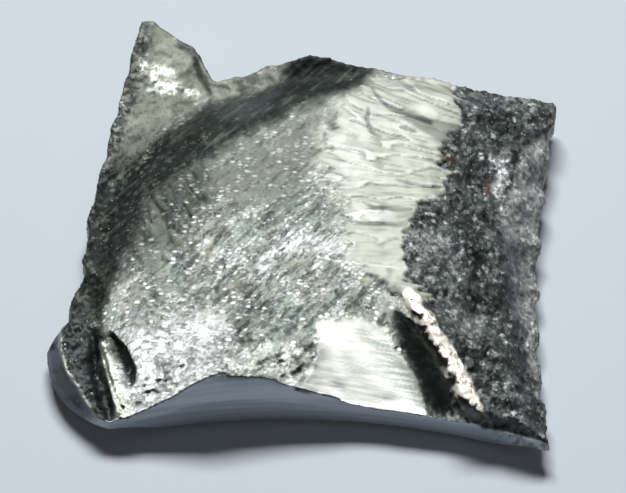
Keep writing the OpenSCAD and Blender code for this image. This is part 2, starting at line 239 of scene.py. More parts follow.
# Tints of the metal and the floor, and the colour of the light from all around
TIN = linear(112, 117, 110)
BRIGHT_TIN = linear(206, 209, 209)
PALE_TIN = linear(196, 200, 188)
WHITE_TIN = linear(240, 242, 238)
GREEN_TIN = linear(140, 152, 144)
WARM_TIN = linear(160, 153, 138)
SLATE_TIN = linear(104, 115, 116)
DULL_TIN = linear(126, 130, 119)
DARK_TIN = linear(41, 47, 46)
FIBRE_TIN = linear(104, 111, 102)
HORN_TIN = linear(114, 119, 109)
GRAIN_TIN = linear(94, 100, 99)
STRIP_TIN = linear(176, 180, 179)
CUT_TIN = linear(186, 194, 204)
NOSE_TIN = linear(56, 62, 61)
SKIRT_TIN = linear(108, 114, 121)
GROOVE_TIN = linear(110, 116, 112)
BURR_TIN = linear(250, 243, 230)
RUST_TIN = linear(104, 78, 64)
SKIN_TIN = linear(120, 124, 128)
EDGE_TIN = linear(66, 71, 69)
WALL_TIN = linear(138, 142, 138)
BACK_TIN = linear(132, 136, 126)
FLOOR_TINT = linear(212, 220, 228)
WORLD_LIGHT = (0.02, 0.021, 0.023)


def ease(low, high, x):
    t = np.clip((x - low) / (high - low), 0, 1)
    return t * t * (3 - 2 * t)


def mix(a, b, share):
    return a + (b - a) * share


def on_sight_plane(places):
    right = places[:, 0] - SIGHT_ORIGIN[0]
    back = places[:, 1] - SIGHT_ORIGIN[1]
    return np.column_stack((right, back * math.sin(SIGHT_HEIGHT) + places[:, 2] * math.cos(SIGHT_HEIGHT)))


def nearest_on_path(spots, path):
    """Distance of each spot from a path, and the path's half width there."""
    nearest = np.full(len(spots), np.inf)
    half_width = np.zeros(len(spots))
    for (x0, y0, w0), (x1, y1, w1) in zip(path, path[1:]):
        start = np.array((x0, y0))
        step = np.array((x1 - x0, y1 - y0))
        t = np.clip((spots - start) @ step / np.linalg.norm(step) ** 2, 0, 1)
        distance = np.linalg.norm(spots - start - t[:, None] * step, axis=1)
        closer = distance < nearest
        nearest[closer] = distance[closer]
        half_width[closer] = mix(w0, w1, t)[closer]
    return nearest, half_width


def stroke(spots, path, soft):
    """1 on a path, 0 beside it, with a soft border."""
    distance, half_width = nearest_on_path(spots, path)
    return 1 - ease(-soft, soft, distance - half_width)


def strokes(spots, paths, soft):
    """1 on any of several paths, 0 beside them, with a soft border."""
    return np.max([stroke(spots, path, soft) for path in paths], axis=0)


def patch(spots, corners, soft):
    """1 inside a ring of corners, 0 outside it, with a soft border."""
    ring = [*corners, corners[0]]
    inside = np.zeros(len(spots), bool)
    for (x0, y0), (x1, y1) in zip(ring, ring[1:]):
        if y0 != y1:
            crossing = (y0 > spots[:, 1]) != (y1 > spots[:, 1])
            inside ^= crossing & (spots[:, 0] < x0 + (spots[:, 1] - y0) / (y1 - y0) * (x1 - x0))
    distance, _ = nearest_on_path(spots, [(x, y, 0) for x, y in ring])
    return ease(-soft, soft, np.where(inside, distance, -distance))


def cloud(places, wavelength, octaves=3, shift=0.0):
    """Smooth noise from about -1 to 1. The wavelength may differ along the three axes."""
    scaled = (places / np.array(wavelength) + shift).tolist()
    return np.array([noise.fractal(place, 1.0, 2.0, octaves) for place in scaled])


def grains(places, size, shift=0.0):
    """Flat grains, each with its own tilt: their height, in grain sizes, and a number from 0 to 1."""
    heights = []
    numbers = []
    for place in (places / np.array(size) + shift).tolist():
        middle = noise.voronoi(place)[1][0]
        tilt = noise.cell_vector(middle * 37.7) - Vector((0.5, 0.5, 0.5))
        heights.append(tilt.dot(Vector(place) - middle) + 0.5 * tilt.x)
        numbers.append(noise.cell(middle * 91.3))
    return np.array(heights), np.array(numbers) * 0.5 + 0.5


def nuggets(places, size, shift=0.0):
    """Round grains: their height, from 0 between them to about 1 at their middles."""
    scaled = (places / size + shift).tolist()
    return 1 - np.array([noise.voronoi(place)[0][0] for place in scaled])


def turned(spots, degrees):
    """Spots on the sight plane, as (along, across) a direction, with a third column for noise."""
    angle = math.radians(degrees)
    along = spots[:, 0] * math.cos(angle) + spots[:, 1] * math.sin(angle)
    across = spots[:, 1] * math.cos(angle) - spots[:, 0] * math.sin(angle)
    return np.column_stack((along, across, np.zeros(len(spots))))


def meshed(piece):
    """The piece's mesh with its modifiers applied, in place of the one it had."""
    mesh = bpy.data.meshes.new_from_object(piece.evaluated_get(bpy.context.evaluated_depsgraph_get()))
    piece.modifiers.clear()
    mesh.name = piece.name
    piece.data = mesh
    return mesh


def dense_copy(node, name):
    """An evenly meshed copy of a solid, with a coarser underside."""
    piece = bpy.data.objects.new(name, node.data.copy())
    scene.collection.objects.link(piece)
    weld = piece.modifiers.new("weld", "WELD")
    weld.merge_threshold = 0.001 * MM
    even = piece.modifiers.new("even", "REMESH")
    even.mode = "VOXEL"
    even.voxel_size = CELL * MM
    mesh = meshed(piece)

    flat = read_normals(mesh)[:, 2] < -0.6
    group = piece.vertex_groups.new(name="underside")
    group.add(np.flatnonzero(flat).tolist(), 1.0, "REPLACE")
    coarse = piece.modifiers.new("coarse", "DECIMATE")
    coarse.vertex_group = group.name
    coarse.ratio = 1 - (1 - UNDERSIDE_KEPT) * flat.mean()
    meshed(piece)
    piece.vertex_groups.clear()
    return piece


def read_places(mesh):
    flat = np.empty(len(mesh.vertices) * 3, np.float32)
    mesh.vertices.foreach_get("co", flat)
    return flat.reshape(-1, 3).astype(float) / MM


def write_places(mesh, places):
    mesh.vertices.foreach_set("co", (places * MM).astype(np.float32).ravel())
    mesh.update()


def read_normals(mesh):
    flat = np.empty(len(mesh.vertices) * 3, np.float32)
    mesh.vertices.foreach_get("normal", flat)
    return flat.reshape(-1, 3).astype(float)


def smoothed(mesh, places, steps):
    """Places after steps that move each one towards its neighbours' middle, or away from it."""
    edges = np.empty(len(mesh.edges) * 2, np.int32)
    mesh.edges.foreach_get("vertices", edges)
    a, b = edges.reshape(-1, 2).T
    count = np.bincount(a, minlength=len(places)) + np.bincount(b, minlength=len(places))
    for step in steps:
        total = np.column_stack([
            np.bincount(a, places[b, axis], len(places)) + np.bincount(b, places[a, axis], len(places))
            for axis in range(3)
        ])
        places = places + step * (total / count[:, None] - places)
    return places


def front_line(right):
    """Plan place of the front cut, in millimetres, from its two ends and its hollow."""
    t = np.clip((right - FRONT_LEFT[0]) / FRONT_LEN, 0, 1)
    return FRONT_LEFT[1] - FRONT_SKEW * t + 4 * FRONT_BOW * t * (1 - t)


def eased_slopes(places, normals):
    """Places after the steep slopes behind the front cut are cut back to ramps."""
    eased = places.copy()
    for corners, height, rise in STEEP_PLACES:
        slope = height + rise * (places[:, 1] - front_line(places[:, 0]))
        share = patch(on_sight_plane(places), corners, 0.35) * ease(0.2, 0.35, normals[:, 2])
        eased[:, 2] = mix(eased[:, 2], np.minimum(eased[:, 2], slope), share)
    return eased


def evened(mesh, places, normals):
    """Places after the lumps of the right strip and of the slopes behind the front cut are smoothed away."""
    spots = on_sight_plane(places)
    rings = [RIGHT_STRIP, *(corners for corners, _, _ in STEEP_PLACES)]
    share = np.max([patch(spots, corners, 0.4) for corners in rings], axis=0) * ease(0.2, 0.5, normals[:, 2])
    return mix(places, smoothed(mesh, places, EVENING), share[:, None])


def make_patterns(places):
    """Patterns that the relief and the tint share: noises from about -1 to 1, grains and stirred spots."""
    pattern = SimpleNamespace(places=places, spots=on_sight_plane(places))
    warp = np.column_stack([cloud(places, 1.6, 3, shift) for shift in (3.1, 7.7)])
    fine_warp = np.column_stack([cloud(places, 0.5, 2, shift) for shift in (1.3, 5.9)])
    pattern.near = pattern.spots + 0.1 * warp
    pattern.loose = pattern.spots + 0.35 * warp + 0.15 * fine_warp
    pattern.ragged = pattern.spots + 0.6 * warp + 0.3 * fine_warp

    pattern.patches = cloud(places, 1.3, 3, 30.0)
    pattern.tarnish = cloud(places, 3.1, 3, 41.0)
    pattern.lumps = cloud(places, 2.2, 3, 15.0)
    pattern.crumbs = cloud(places, 0.55, 3, 21.0)

    # Strokes of a tool run up to the right over the foil, and lie flatter at its front left
    pattern.tone = cloud(turned(pattern.spots, 40), (1.3, 0.55, 1), 3, 33.0)
    pattern.strokes = cloud(turned(pattern.spots, 40), (3.0, 0.22, 1), 2, 18.0)
    pattern.facets, pattern.facet_number = grains(turned(pattern.spots, 42), (0.9, 0.36, 1))
    pattern.level_facets, pattern.level_number = grains(turned(pattern.spots, -4), (0.8, 0.34, 1), 4.4)
    pattern.smears = cloud(turned(pattern.spots, -10), (2.2, 0.14, 1), 3, 27.0)
    pattern.fibre = cloud(turned(pattern.spots, -55), (1.4, 0.4, 1), 2, 6.3)
    pattern.band_streaks = cloud(turned(pattern.spots, 38), (1.8, 0.3, 1), 3, 3.9)

    # Striae: overlapping sheets that run to the right, and slope down more towards the back
    slope = np.radians(mix(2, 20, ease(12, 20, pattern.spots[:, 1])))
    across = pattern.spots[:, 1] + np.tan(slope) * (pattern.spots[:, 0] - 4)
    lie = np.column_stack((pattern.spots[:, 0], across, np.zeros(len(places))))
    sheet = across / 1.3 + 1.4 * cloud(lie, (3.4, 1.1, 1), 2, 2.2)
    pattern.sheets = np.ceil(sheet) - sheet
    pattern.threads = cloud(lie, (2.4, 0.2, 1), 2, 8.1)
    tear = 0.8 * cloud(lie, (2.5, 0.45, 1), 2, 14.0)
    pattern.torn = pattern.loose + np.column_stack((tear, np.zeros(len(places))))

    pattern.crystals, pattern.crystal_number = grains(places, 0.5, 1.7)
    pattern.specks, pattern.speck_number = grains(places, 0.26, 9.2)
    pattern.beads = nuggets(places, 0.6, 12.4)
    pattern.lines = cloud(places, (9, 3, 0.35), 3, 5.5)
    pattern.flutes = np.cos(2 * math.pi * (pattern.spots[:, 0] * 0.94 + pattern.spots[:, 1] * 0.34) / 0.42)
    return pattern


def add_sides(on, normals, pattern):
    """The upper face, the underside, the front cut, the walls, and slopes that face the front or the left."""
    right, up = pattern.spots.T
    from_front = np.abs(pattern.places[:, 1] - front_line(pattern.places[:, 0]))
    lips = np.max([patch(pattern.near, corners, 0.1) for corners in (APRON, PALE_FRONT, BRIGHT_FOIL)], axis=0)
    lips *= ease(0.15, 0.3, normals[:, 2])
    on.top = np.maximum(ease(0.1, 0.5, normals[:, 2]), lips)
    on.under = ease(-0.2, -0.5, normals[:, 2])
    on.cut = ease(-0.78, -0.9, normals[:, 1]) * ease(1.2, 0.4, from_front)
    on.cut *= (1 - lips) * (1 - patch(pattern.near, BROKEN_END, 0.12))
    on.cut_end = ease(11.0, 13.5, right) * on.cut
    to_left = ease(0.1, 0.4, -normals[:, 0]) * ease(11, 8, up)
    on.sloped = np.maximum(ease(0.05, 0.35, -normals[:, 1]), to_left) * on.top
    on.wall = (1 - on.top) * (1 - on.under) * (1 - on.cut)


def add_band(on, pattern):
    """The dark band, rough at its left, and the fibres and the dull foil beside it."""
    on.band = patch(pattern.loose, DARK_BAND, 0.6) * on.top
    on.rough_band = on.band * mix(0.25, 1.0, ease(-4, -9, pattern.spots[:, 0]))
    on.slate = stroke(pattern.loose, BAND_SLATE, 0.4) * on.band
    on.near_band = patch(pattern.loose, DARK_BAND, 2.2) * (1 - on.band)
    on.fibres = patch(pattern.ragged, FIBRES, 1.1) * on.top * (1 - on.band)
    on.dark_fibres = patch(pattern.ragged, DARK_FIBRES, 0.9) * on.top * (1 - on.band)
    on.dull = patch(pattern.ragged, DULL_FOIL, 1.4) * on.top * (1 - on.band)


def add_pale_patch(on, pattern):
    """The pale patch of torn sheets with its halo, blobs, lip and facet, and the scratches, and dark lines:
    real crack lines, and painted shadows under the lips of sheets.
    """
    on.pale = ease(0.3, 0.7, patch(pattern.torn, PALE_PATCH, 0.35) + 0.3 * pattern.crumbs) * on.top
    on.pale_halo = ease(0.0, 0.5, patch(pattern.ragged, PALE_PATCH, 2.2)) * on.top * (1 - on.band)
    on.pale_halo *= ease(-0.6, 0.3, pattern.patches + 0.5 * pattern.crumbs)
    on.torn_sheets = on.pale * mix(0.35, 1.0, ease(10, 13, pattern.spots[:, 1]))
    on.blobs = patch(pattern.ragged, WHITE_BLOBS, 0.6) * on.top * ease(-0.5, 0.1, pattern.patches)
    on.lip = patch(pattern.loose, WHITE_LIP, 0.25) * on.top
    on.facet = patch(pattern.near, GREY_FACET, 0.2) * on.top
    on.cracks_and_lip_shadows = strokes(pattern.near, CRACKS_AND_LIP_SHADOWS, 0.09) * on.top
    on.scratches = strokes(pattern.spots, SCRATCHES, 0.06) * on.top


def add_fracture(on, pattern):
    """The granular break at the right, its smoother strip, and its flake and spots."""
    broken_wall = on.wall * ease(9, 11, pattern.spots[:, 0])
    broken = np.maximum(patch(pattern.torn, FRACTURE, 0.15) * on.top, broken_wall)
    on.fracture = broken * (1 - on.cut) * (1 - on.pale)
    on.strip = patch(pattern.loose, RIGHT_STRIP, 0.3) * on.fracture
    on.flake = patch(pattern.loose, BRIGHT_FLAKE, 0.25) * on.top
    on.dark_spots = strokes(pattern.ragged, DARK_SPOTS, 0.5) * on.fracture
    on.light_spots = strokes(pattern.ragged, LIGHT_SPOTS, 0.5) * on.fracture
    on.rust = strokes(pattern.loose, RUST_SPOTS, 0.2) * on.top


def add_apron(on, pattern):
    """The smooth apron behind the front cut, and the groove and the burr beside it."""
    on.apron = patch(pattern.near, APRON, 0.2) * on.top * (1 - on.cut)
    on.apron_skin = patch(pattern.loose, APRON, 0.35) * on.top * (1 - on.cut)
    on.apron_tail = stroke(pattern.loose, APRON_TAIL, 0.35) * on.top * (1 - on.cut)
    on.apron_shade = stroke(pattern.loose, APRON_SHADE, 0.6) * on.apron
    on.groove = stroke(pattern.near, GROOVE, 0.3) * on.top
    burr_distance, burr_half = nearest_on_path(pattern.near, BURR)
    on.burr = (1 - ease(-0.12, 0.2, burr_distance - burr_half)) * on.top
    on.burr_foot = stroke(pattern.loose, BURR_FOOT_PAINTED_LIGHT, 0.15) * (1 - on.cut)
    on.low_glint = stroke(pattern.loose, LOW_GLINT, 0.2) * (1 - on.cut)


def add_nose(on, pattern):
    """The rolled nose with its rib, slot and channel, and the skirt under its rim."""
    on.nose = patch(pattern.near, NOSE, 0.3) * (1 - on.cut)
    on.skirt = patch(pattern.near, SKIRT, 0.12) * (1 - on.cut)
    on.skirt_shade = stroke(pattern.near, SKIRT_SHADE, 0.2) * on.skirt
    on.channel = stroke(pattern.near, NOSE_CHANNEL, 0.3) * on.nose
    on.rib = stroke(pattern.near, NOSE_RIB, 0.2) * on.top
    on.slot = stroke(pattern.near, NOSE_SLOT, 0.2) * on.top
    on.nose_rim = stroke(pattern.near, NOSE_RIM, 0.12) * (1 - on.cut)


def add_horn(on, pattern):
    """The horn with its glint, side and edge, and the strip along the back."""
    on.horn = patch(pattern.ragged, HORN, 0.5) * on.top
    on.glint = stroke(pattern.ragged, HORN_GLINT, 0.3) * on.top
    on.horn_side = stroke(pattern.loose, HORN_SIDE, 0.4) * on.top
    on.horn_edge = stroke(pattern.loose, HORN_EDGE, 0.2) * on.top
    on.back_strip = stroke(pattern.ragged, BACK_STRIP, 0.4) * on.top


def add_foil(on, normals, pattern):
    """The bright foil, which is what no other zone covers, its parts, and the edges outside it."""
    right, up = pattern.spots.T
    on.pale_front = patch(pattern.ragged, PALE_FRONT, 0.6) * on.top * (1 - on.cut) * (1 - on.apron)
    on.bright = patch(pattern.ragged, BRIGHT_FOIL, 1.0) * on.top
    foil_smudge = 0.8 * stroke(pattern.ragged, FOIL_SMUDGE, 0.4)
    on.smudge = np.maximum(stroke(pattern.ragged, PEAK_SMUDGE, 0.7), foil_smudge) * on.top
    on.bar = stroke(pattern.ragged, FOIL_BAR, 0.5) * on.top
    on.weave = patch(pattern.ragged, WEAVE, 1.2)
    on.level = ease(-4, -8, right) * ease(9, 6, up)
    others = [
        on.band, on.pale, on.fracture, on.apron, on.nose, on.horn, on.groove, on.burr, on.cut, on.under,
        on.wall,
    ]
    on.foil = 1 - np.max(others, axis=0)
    on.edge = ease(0.85, 0.55, normals[:, 2]) * on.top * (1 - on.foil) * (1 - on.cut) * (1 - on.nose)
    on.edge *= ease(0.4, 0.0, np.maximum(on.apron, on.apron_tail))


def make_zones(normals, pattern):
    """The zones of the surface, each a mask from 0 to 1."""
    on = SimpleNamespace()
    add_sides(on, normals, pattern)
    for add_zones in (add_band, add_pale_patch, add_fracture, add_apron, add_nose, add_horn):
        add_zones(on, pattern)
    add_foil(on, normals, pattern)
    return on


def make_relief(on, pattern):
    """Height of the relief over the solid, in millimetres."""
    lumps, crumbs, grit = pattern.lumps, pattern.crumbs, pattern.specks
    facets = mix(pattern.facets, pattern.level_facets, on.level)
    bare_nose = on.nose * (1 - on.skirt)
    bare_wall = on.wall * (1 - on.fracture) * (1 - on.nose)
    relief = RISE.lumps * lumps * (1 - on.cut) * (1 - on.skirt) * (1 - on.apron)
    relief += on.foil * (RISE.facets * facets + RISE.strokes * pattern.strokes + RISE.tone * pattern.tone)
    sheets = RISE.sheets * (pattern.sheets - 0.5) + RISE.threads * pattern.threads
    relief += on.torn_sheets * (1 - on.facet) * sheets
    relief += on.pale * RISE.pale_lumps * pattern.patches
    relief += on.pale * RISE.pale_lift * ease(2.5, 5, pattern.spots[:, 0])
    relief += on.fibres * RISE.fibres * pattern.fibre
    relief += on.fracture * (RISE.crystals * pattern.crystals + RISE.crystal_grit * grit)
    relief += on.fracture * RISE.break_crumbs * crumbs * (1 - 0.6 * on.strip)
    relief += on.band * RISE.band_streaks * pattern.band_streaks
    relief += on.band * (RISE.band_crumbs * crumbs + RISE.band_grit * grit)
    relief += on.cut * RISE.cut_lines * pattern.lines + on.apron * RISE.apron_smears * pattern.smears
    relief += on.burr * (RISE.beads * pattern.beads + RISE.bead_gaps)
    relief += on.groove * (RISE.groove_crumbs * crumbs + RISE.groove_grit * grit + RISE.groove)
    relief += on.cracks_and_lip_shadows * RISE.cracks_and_lip_shadows
    relief += on.horn * (RISE.horn_crumbs * crumbs + RISE.horn_grit * grit)
    relief += on.horn_side * RISE.horn_side_grit * grit
    relief += bare_nose * (RISE.nose_crumbs * crumbs + RISE.nose_grit * grit)
    relief += on.rib * (RISE.rib + RISE.flutes * pattern.flutes)
    relief += on.slot * RISE.slot + on.channel * RISE.channel + on.nose_rim * RISE.nose_rim
    relief += bare_wall * (RISE.wall_grit * grit + RISE.wall_crumbs * crumbs)
    relief += on.under * RISE.under_lumps * lumps
    return relief


def foil_layers(on, pattern):
    """The foil, the fibres beside the band, and the pale front."""
    light = pattern.tone + 0.5 * pattern.lumps
    return [
        (GREEN_TIN, 0.45 * ease(0.0, 0.5, pattern.tarnish) * on.foil),
        (WARM_TIN, 0.25 * ease(-0.1, -0.5, pattern.tarnish) * on.foil),
        (BRIGHT_TIN, 0.45 * ease(0.05, 0.6, light) * on.foil),
        (SLATE_TIN, 0.6 * ease(-0.05, -0.6, light) * on.foil),
        (DULL_TIN, 0.65 * on.dull),
        (FIBRE_TIN, on.near_band * on.foil * mix(0.15, 0.5, ease(8, 12, pattern.spots[:, 1]))),
        (FIBRE_TIN, 0.9 * on.fibres),
        (DARK_TIN, 0.6 * on.fibres * ease(0.0, 0.5, pattern.fibre)),
        (DULL_TIN, 0.7 * on.fibres * ease(0.0, -0.5, pattern.fibre)),
        (DARK_TIN, 0.58 * on.dark_fibres),
        # Painted light on the foil that slopes to the front left
        (BRIGHT_TIN, 0.65 * on.bright),
        (BRIGHT_TIN, 0.8 * on.bar),
        (DARK_TIN, 0.6 * on.smudge),
        (PALE_TIN, 0.8 * on.pale_front * ease(-0.4, 0.2, pattern.patches)),
    ]


def horn_layers(on, pattern):
    """The horn and the strip along the back."""
    return [
        (HORN_TIN, on.horn),
        (PALE_TIN, 0.3 * on.horn * ease(-0.2, 0.6, pattern.lumps)),
        (FIBRE_TIN, 0.5 * on.horn * ease(0.0, 0.5, pattern.crumbs)),
        (DARK_TIN, 0.8 * on.horn * ease(0.0, 0.6, on.near_band) * ease(-0.5, 0.3, pattern.lumps)),
        (EDGE_TIN, on.horn_side * ease(0.75, 0.35, pattern.speck_number)),
        # Painted highlight: white glints on the horn
        (WHITE_TIN, 0.42 * on.glint * ease(0.3, 0.6, pattern.speck_number) * ease(0.3, 0.0, pattern.crumbs)),
        (EDGE_TIN, 0.85 * on.horn_edge),
        (BACK_TIN, on.back_strip),
        (PALE_TIN, 0.4 * on.back_strip * ease(0.0, 0.5, pattern.crumbs)),
    ]


def band_layers(on, pattern):
    """The dark band, its near-black colour painted shade."""
    return [
        (DARK_TIN, on.band),
        (FIBRE_TIN, 0.5 * on.band * ease(0.1, 0.7, pattern.band_streaks)),
        (SLATE_TIN, 0.3 * on.slate),
        (FIBRE_TIN, 0.75 * on.rough_band * ease(0.75, 0.95, pattern.speck_number)),
    ]


def pale_layers(on, pattern):
    """The pale patch and its halo."""
    return [
        (PALE_TIN, 0.9 * on.pale_halo),
        (PALE_TIN, on.pale),
        (FIBRE_TIN, 0.5 * on.torn_sheets * ease(0.0, 0.5, pattern.threads)),
        (FIBRE_TIN, 0.5 * on.pale * ease(0.1, 0.7, pattern.patches)),
        # Painted highlight on the raised lower lip of each sheet, and painted shade just under the lip of the
        # next
        (WHITE_TIN, 0.4 * on.torn_sheets * ease(0.55, 0.95, pattern.sheets)),
        (FIBRE_TIN, 0.45 * on.torn_sheets * ease(0.25, 0.0, pattern.sheets)),
        (WHITE_TIN, np.maximum(0.3 * on.blobs, 0.45 * on.lip)),
        # Painted shade on one facet of the pale patch
        (FIBRE_TIN, 0.7 * on.facet),
    ]


def fracture_layers(on, pattern):
    """The granular break and the strip at its right."""
    return [
        (GRAIN_TIN, on.fracture),
        (DARK_TIN, 0.85 * on.fracture * ease(-0.1, 0.45, pattern.patches)),
        (DARK_TIN, 0.6 * on.fracture * ease(0.4, 0.1, pattern.crystal_number)),
        (STRIP_TIN, 0.35 * on.fracture * ease(0.75, 0.9, pattern.crystal_number)),
        (DARK_TIN, 0.75 * on.dark_spots),
        (STRIP_TIN, 0.3 * on.light_spots),
        (STRIP_TIN, 0.75 * on.strip),
        (DARK_TIN, 0.45 * on.strip * ease(0.4, 0.15, pattern.speck_number)),
        # Painted glints on grains of the break and its strip
        (WHITE_TIN, 0.45 * on.strip * ease(0.88, 0.95, pattern.speck_number)),
        (BRIGHT_TIN, 0.6 * on.fracture * ease(0.95, 0.97, pattern.speck_number)),
        (BRIGHT_TIN, 0.75 * on.flake),
        (RUST_TIN, 0.9 * on.rust),
    ]


def apron_layers(on, pattern):
    """The apron, the groove and the burr."""
    return [
        (WHITE_TIN, 0.75 * on.apron_tail * ease(0.4, -0.2, pattern.crumbs)),
        (PALE_TIN, on.apron_skin),
        (WHITE_TIN, on.apron_skin * mix(0.4, 0.95, ease(0.25, -0.35, pattern.smears))),
        (GREEN_TIN, on.apron_shade * mix(0.4, 0.9, ease(-0.4, 0.3, pattern.smears))),
        (GROOVE_TIN, on.groove),
        (DARK_TIN, 0.7 * on.groove * ease(-0.1, 0.4, pattern.crumbs)),
        (BURR_TIN, on.burr),
        # Painted light on the front-facing slopes at the burr's foot
        (BURR_TIN, on.burr_foot * ease(0.1, 0.5, pattern.speck_number)),
        (WHITE_TIN, on.low_glint * ease(0.2, 0.5, pattern.speck_number)),
    ]


def nose_layers(on, pattern):
    """The nose and its skirt."""
    return [
        (NOSE_TIN, on.nose),
        (DARK_TIN, 0.7 * on.nose * ease(0.0, 0.5, pattern.crumbs)),
        (SKIRT_TIN, on.skirt),
        (DARK_TIN, 0.4 * on.skirt * ease(0.0, 0.5, pattern.crumbs)),
        (DARK_TIN, 0.85 * on.skirt_shade),
        (PALE_TIN, 0.8 * on.nose_rim),
        (PALE_TIN, on.rib),
        # Painted shade in the slot and the channel
        (DARK_TIN, np.maximum(on.slot, 0.9 * on.channel)),
    ]


def side_layers(on, pattern):
    """Crack lines and painted lip shadows, scratches, the underside, the walls, the edges and the front cut.
    """
    bare_wall = on.wall * (1 - on.fracture) * (1 - on.nose)
    return [
        # Painted shadows under sheet lips, and real crack lines, all dark
        (DARK_TIN, 0.85 * on.cracks_and_lip_shadows),
        (WHITE_TIN, 0.8 * on.scratches),
        (SKIN_TIN, on.under),
        (WALL_TIN, bare_wall),
        (EDGE_TIN, 0.6 * bare_wall * ease(-0.2, 0.5, pattern.patches + 0.6 * pattern.crumbs)),
        (EDGE_TIN, 0.7 * on.edge),
        (CUT_TIN, on.cut),
        (SKIRT_TIN, 0.2 * on.cut * ease(0.0, 0.5, pattern.lines)),
        (EDGE_TIN, 0.5 * on.cut_end * ease(0.45, 0.2, pattern.speck_number)),
        (WHITE_TIN, 0.5 * on.cut_end * ease(0.75, 0.9, pattern.speck_number)),
    ]


def make_tint(on, pattern):
    """Colour of the metal itself: layers over plain tin, each a tint and its share, the last on top."""
    tint = np.tile(TIN, (len(pattern.places), 1))
    for make_layers in (
        foil_layers, horn_layers, band_layers, pale_layers, fracture_layers, apron_layers, nose_layers,
        side_layers,
    ):
        for colour, share in make_layers(on, pattern):
            tint = mix(tint, colour, share[:, None])
    facet_number = mix(pattern.facet_number, pattern.level_number, on.level)
    shade = (0.15 * (facet_number - 0.5) * on.foil + 0.14 * pattern.patches) * (1 - on.cut)
    return np.clip(tint * (1 + shade[:, None]), 0, 1)


def make_finish(on, pattern):
    """Roughness and metal share of the surface, and where its fine facets, dots and lifted flakes lie."""
    up = pattern.spots[:, 1]
    bare_nose = on.nose * (1 - on.skirt)
    roughness = np.full(len(pattern.places), 0.5)
    metal = np.full(len(pattern.places), 0.5)
    for share, its_roughness, its_metal in [
        (on.band, 0.65, 0.6), (on.fibres, 0.6, 0.35), (on.dull, 0.6, 0.4), (on.pale_halo, 0.6, 0.33),
        (on.pale, 0.62, 0.3), (on.blobs, 0.6, 0.3), (on.fracture, 0.55, 0.5), (on.strip, 0.55, 0.25),
        (on.apron_skin, 0.45, 0.4), (on.horn, 0.6, 0.5), (on.back_strip, 0.6, 0.4), (on.nose, 0.5, 0.7),
        (on.skirt, 0.5, 0.5), (on.burr, 0.5, 0.2), (on.burr_foot, 0.5, 0.2), (on.low_glint, 0.5, 0.1),
        (on.cut, 0.45, 0.5), (on.under, 0.55, 0.8), (on.groove, 0.6, 0.6), (on.glint, 0.45, 0.6),
    ]:
        roughness = mix(roughness, its_roughness, share)
        metal = mix(metal, its_metal, share)
    dotted = ease(-0.45, 0.3, pattern.tone + 0.7 * pattern.patches) * (1 - 0.35 * on.dull)
    dotted *= 1 - on.near_band * mix(0.35, 1.0, ease(9, 13, up))
    dotted *= 1 - 0.6 * on.pale_halo * ease(13, 15, up)
    grainy = [
        on.fracture, 0.6 * on.wall, 0.8 * on.rough_band, 0.6 * on.groove, 0.3 * on.horn, 0.7 * on.horn_side,
        0.6 * bare_nose, 0.6 * on.cut_end,
    ]
    # Where painted glints fall on grains
    sparkling = [
        0.5 * on.fracture, 0.5 * bare_nose, 0.7 * on.rough_band * ease(-0.2, 0.3, pattern.patches),
        0.6 * on.horn_side,
    ]
    flaked = 0.76 * on.apron + 0.92 * on.foil * on.sloped * (1 - on.slot)
    return {
        "dullness": roughness,
        "metal": metal,
        "foil": np.maximum(on.foil, 0.4 * on.fibres),
        "level": on.level,
        "dots": on.foil * dotted,
        "weave": on.weave,
        "grain": np.max(grainy, axis=0),
        "sparks": np.max(sparkling, axis=0),
        "lifted": np.max([flaked, 0.92 * on.burr, 0.6 * on.bright], axis=0),
    }


def sculpt(mesh):
    """Adds the relief to the mesh and stores its tint and finish on it."""
    places = smoothed(mesh, read_places(mesh), SMOOTHING)
    write_places(mesh, places)
    places = smoothed(mesh, eased_slopes(places, read_normals(mesh)), LIGHT_SMOOTHING)
    write_places(mesh, places)
    places = evened(mesh, places, read_normals(mesh))
    write_places(mesh, places)
    normals = read_normals(mesh)
    patterns = make_patterns(places)
    zones = make_zones(normals, patterns)
    relief = make_relief(zones, patterns)
    low, high = np.array(cad_low) / MM, np.array(cad_high) / MM
    write_places(mesh, np.clip(places + normals * relief[:, None], low, high))
    store_colour(mesh, "tint", make_tint(zones, patterns))
    for name, mask in make_finish(zones, patterns).items():
        store(mesh, name, mask)


def store(mesh, name, values):
    attribute = mesh.attributes.new(name, "FLOAT", "POINT")
    attribute.data.foreach_set("value", values.astype(np.float32))


def store_colour(mesh, name, colours):
    attribute = mesh.color_attributes.new(name, "FLOAT_COLOR", "POINT")
    full = np.column_stack((colours, np.ones(len(colours))))
    attribute.data.foreach_set("color", full.astype(np.float32).ravel())


class Nodes:
    """Short ways to add and join shader nodes."""

    def __init__(self, material):
        material.use_nodes = True
        self.tree = material.node_tree
        self.tree.nodes.clear()

    def add(self, kind, settings=(), **inputs):
        node = self.tree.nodes.new(kind)
        for name, value in dict(settings).items():
            setattr(node, name, value)
        for name, value in inputs.items():
            socket = node.inputs[int(name[1:])] if name[1:].isdigit() else node.inputs[name.replace("_", " ")]
            if isinstance(value, bpy.types.NodeSocket):
                self.tree.links.new(value, socket)
            else:
                socket.default_value = value
        return node

    def attribute(self, name):
        return self.add("ShaderNodeAttribute", {"attribute_name": name})


